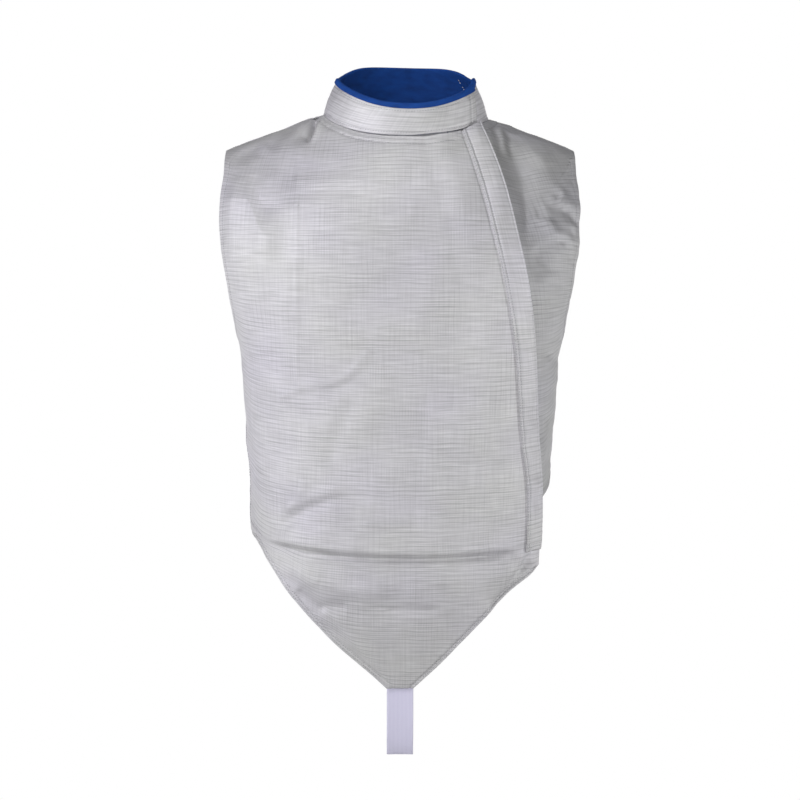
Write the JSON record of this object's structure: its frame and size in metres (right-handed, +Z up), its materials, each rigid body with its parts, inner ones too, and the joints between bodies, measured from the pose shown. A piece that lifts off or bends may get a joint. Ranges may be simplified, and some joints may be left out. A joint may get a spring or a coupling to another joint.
{
  "type": "foil lame",
  "caption": "Sleeveless fencing vest of silver metallic cloth, standing as worn on an unseen body, with a blue-lined stand collar, a lapped side flap and a strap under a pointed front",
  "frame": {"origin": "On the middle line of the body, level with where the collar meets the shoulder line; the wearer's shoulders hold the vest up here", "axes": "+Z up, -Y the vest's front, +X the viewer's right, which is the wearer's left"},
  "size_m": [0.3996, 0.2513, 0.7813],
  "materials": {
    "lame_front": "silver-grey cloth woven with metal thread in a fine grid, soft sheen",
    "lame_band": "silver-grey metallic cloth, folded and stitched flat",
    "lame_side_front": "silver-grey metallic cloth, soft sheen",
    "lame_back": "silver-grey metallic cloth, soft sheen",
    "lame_collar": "silver-grey metallic cloth over a stiffening, soft sheen",
    "blue_lining": "matt deep blue woven polyester",
    "white_elastic": "matt white ribbed elastic webbing"
  },
  "bodies": {
    "root": {"front": "lame_front", "placket": "lame_band", "side_front": "lame_side_front", "back": "lame_back", "collar": "lame_collar", "collar_lining": "blue_lining", "crotch_strap": "white_elastic"}
  },
  "joints": []
}
